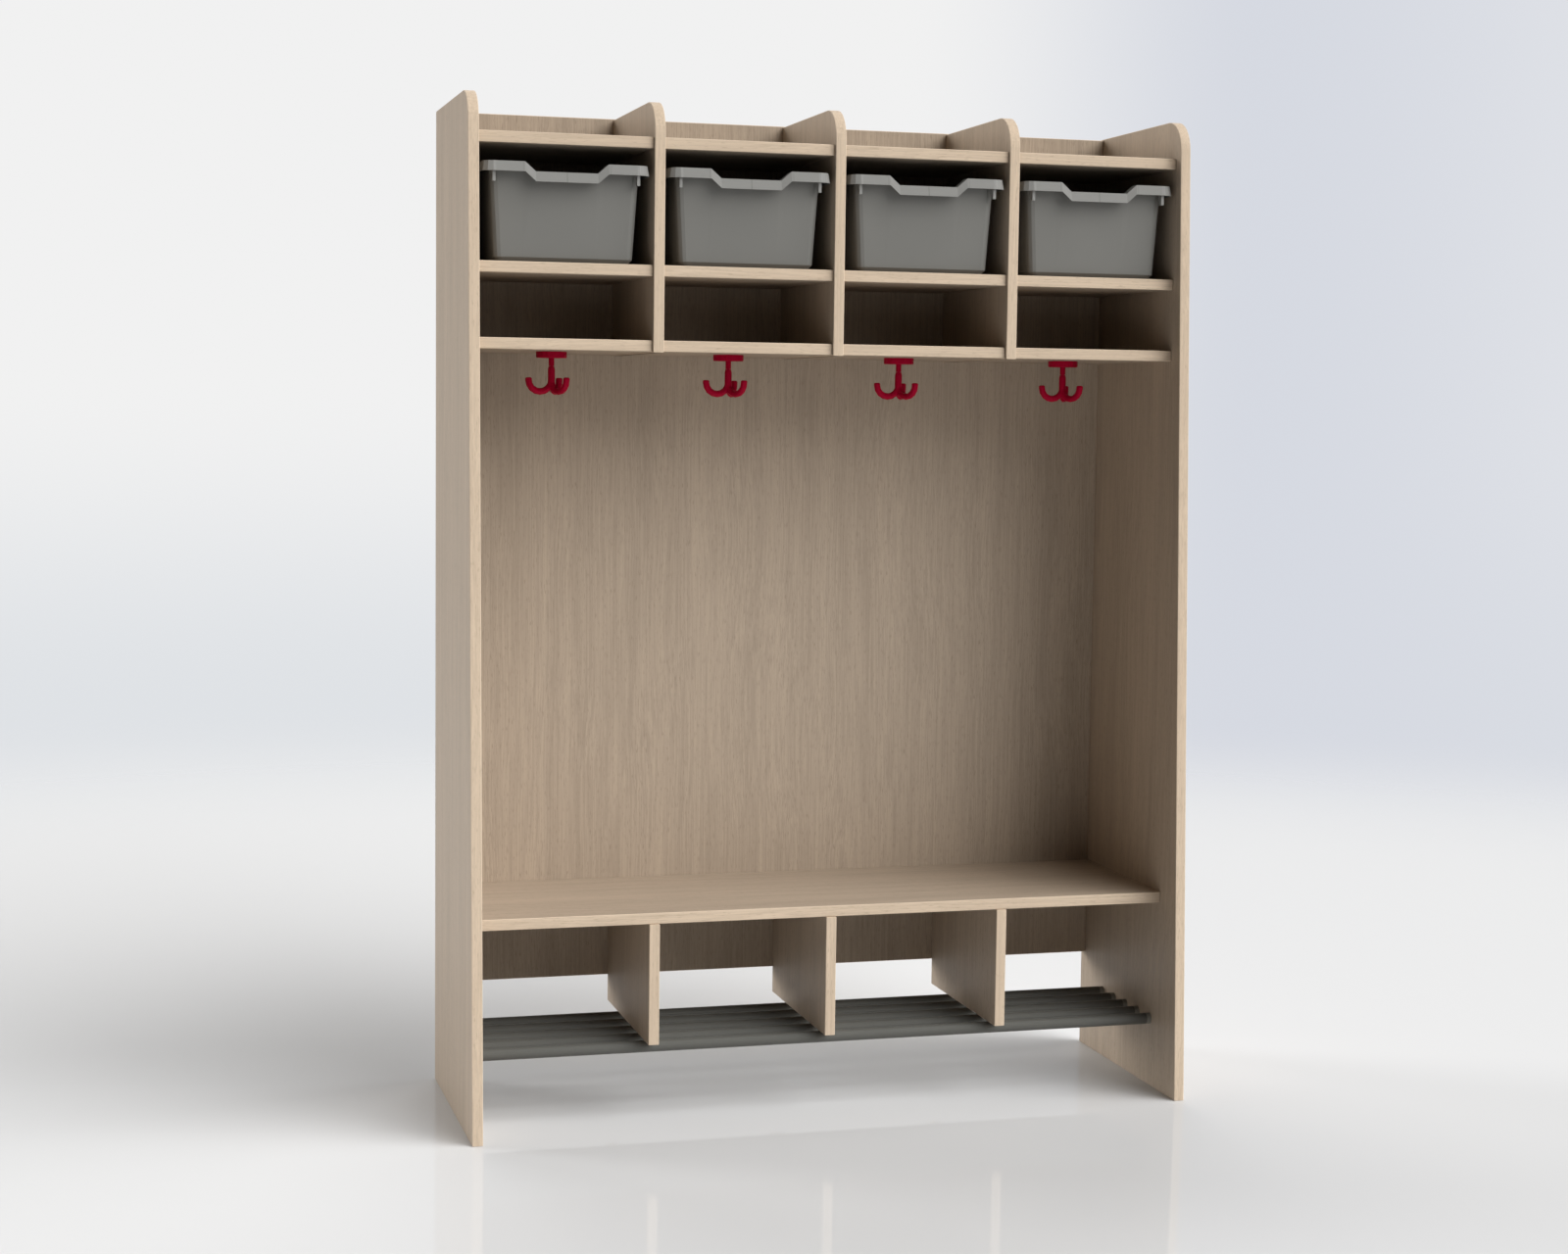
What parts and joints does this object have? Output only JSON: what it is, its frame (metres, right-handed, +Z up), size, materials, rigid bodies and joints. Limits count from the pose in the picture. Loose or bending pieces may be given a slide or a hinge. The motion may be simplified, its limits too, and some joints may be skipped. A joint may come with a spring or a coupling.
{
  "type": "school cloakroom locker",
  "caption": "Open school cloakroom unit of beech-faced boards with a shoe rack, bench, coat space, triple hooks, pigeonholes, lift-out trays and a top shelf.",
  "frame": {"origin": "on the floor under the middle of the unit's bounding box", "axes": "+X to the right seen from the front, -Y to the front, +Z up"},
  "size_m": [1.4, 0.49, 1.9054],
  "materials": {
    "beech_board": "beech laminate with matching edge bands, satin",
    "tube_steel": "grey powder coat, semi-gloss",
    "plug_plastic": "grey moulded plastic",
    "hook_red": "deep red moulded plastic",
    "tray_plastic": "light grey moulded plastic, slightly translucent",
    "screw_zinc": "zinc-plated"
  },
  "bodies": {
    "carcass": {"left_side": "beech_board", "right_side": "beech_board", "back_panel": "beech_board", "bench": "beech_board", "upper_divider_1": "beech_board", "upper_divider_2": "beech_board", "upper_divider_3": "beech_board", "lower_divider_1": "beech_board", "lower_divider_2": "beech_board", "lower_divider_3": "beech_board", "top_shelf_1": "beech_board", "top_shelf_2": "beech_board", "top_shelf_3": "beech_board", "top_shelf_4": "beech_board", "tray_shelf_1": "beech_board", "tray_shelf_2": "beech_board", "tray_shelf_3": "beech_board", "tray_shelf_4": "beech_board", "lower_shelf_1": "beech_board", "lower_shelf_2": "beech_board", "lower_shelf_3": "beech_board", "lower_shelf_4": "beech_board", "shoe_tube_1": "tube_steel", "shoe_tube_2": "tube_steel", "shoe_tube_3": "tube_steel", "shoe_tube_4": "tube_steel", "shoe_tube_5": "tube_steel", "tube_plug_left_1": "plug_plastic", "tube_plug_left_2": "plug_plastic", "tube_plug_left_3": "plug_plastic", "tube_plug_left_4": "plug_plastic", "tube_plug_left_5": "plug_plastic", "tube_plug_right_1": "plug_plastic", "tube_plug_right_2": "plug_plastic", "tube_plug_right_3": "plug_plastic", "tube_plug_right_4": "plug_plastic", "tube_plug_right_5": "plug_plastic", "hook_base_1": "hook_red", "hook_base_2": "hook_red", "hook_base_3": "hook_red", "hook_base_4": "hook_red", "back_screw_1": "screw_zinc", "back_screw_2": "screw_zinc", "back_screw_3": "screw_zinc", "back_screw_4": "screw_zinc", "back_screw_5": "screw_zinc", "back_screw_6": "screw_zinc", "back_screw_7": "screw_zinc", "back_screw_8": "screw_zinc", "back_screw_9": "screw_zinc"},
    "tray_1_body": {"tray_1": "tray_plastic"},
    "tray_2_body": {"tray_2": "tray_plastic"},
    "tray_3_body": {"tray_3": "tray_plastic"},
    "tray_4_body": {"tray_4": "tray_plastic"},
    "hook_1_body": {"hook_arms_1": "hook_red"},
    "hook_2_body": {"hook_arms_2": "hook_red"},
    "hook_3_body": {"hook_arms_3": "hook_red"},
    "hook_4_body": {"hook_arms_4": "hook_red"}
  },
  "joints": [
    {"name": "tray_1_slide", "type": "slide", "parent": "carcass", "child": "tray_1_body", "axis": [0, -1, 0], "range_m": [0, 0.42]},
    {"name": "tray_2_slide", "type": "slide", "parent": "carcass", "child": "tray_2_body", "axis": [0, -1, 0], "range_m": [0, 0.42]},
    {"name": "tray_3_slide", "type": "slide", "parent": "carcass", "child": "tray_3_body", "axis": [0, -1, 0], "range_m": [0, 0.42]},
    {"name": "tray_4_slide", "type": "slide", "parent": "carcass", "child": "tray_4_body", "axis": [0, -1, 0], "range_m": [0, 0.42]},
    {"name": "hook_1_swivel", "type": "hinge", "parent": "carcass", "child": "hook_1_body", "pos_m": [-0.51495, 0.01, 1.3922], "axis": [0, 0, 1], "continuous": true},
    {"name": "hook_2_swivel", "type": "hinge", "parent": "carcass", "child": "hook_2_body", "pos_m": [-0.17165, 0.01, 1.3922], "axis": [0, 0, 1], "continuous": true},
    {"name": "hook_3_swivel", "type": "hinge", "parent": "carcass", "child": "hook_3_body", "pos_m": [0.17165, 0.01, 1.3922], "axis": [0, 0, 1], "continuous": true},
    {"name": "hook_4_swivel", "type": "hinge", "parent": "carcass", "child": "hook_4_body", "pos_m": [0.51495, 0.01, 1.3922], "axis": [0, 0, 1], "continuous": true}
  ]
}
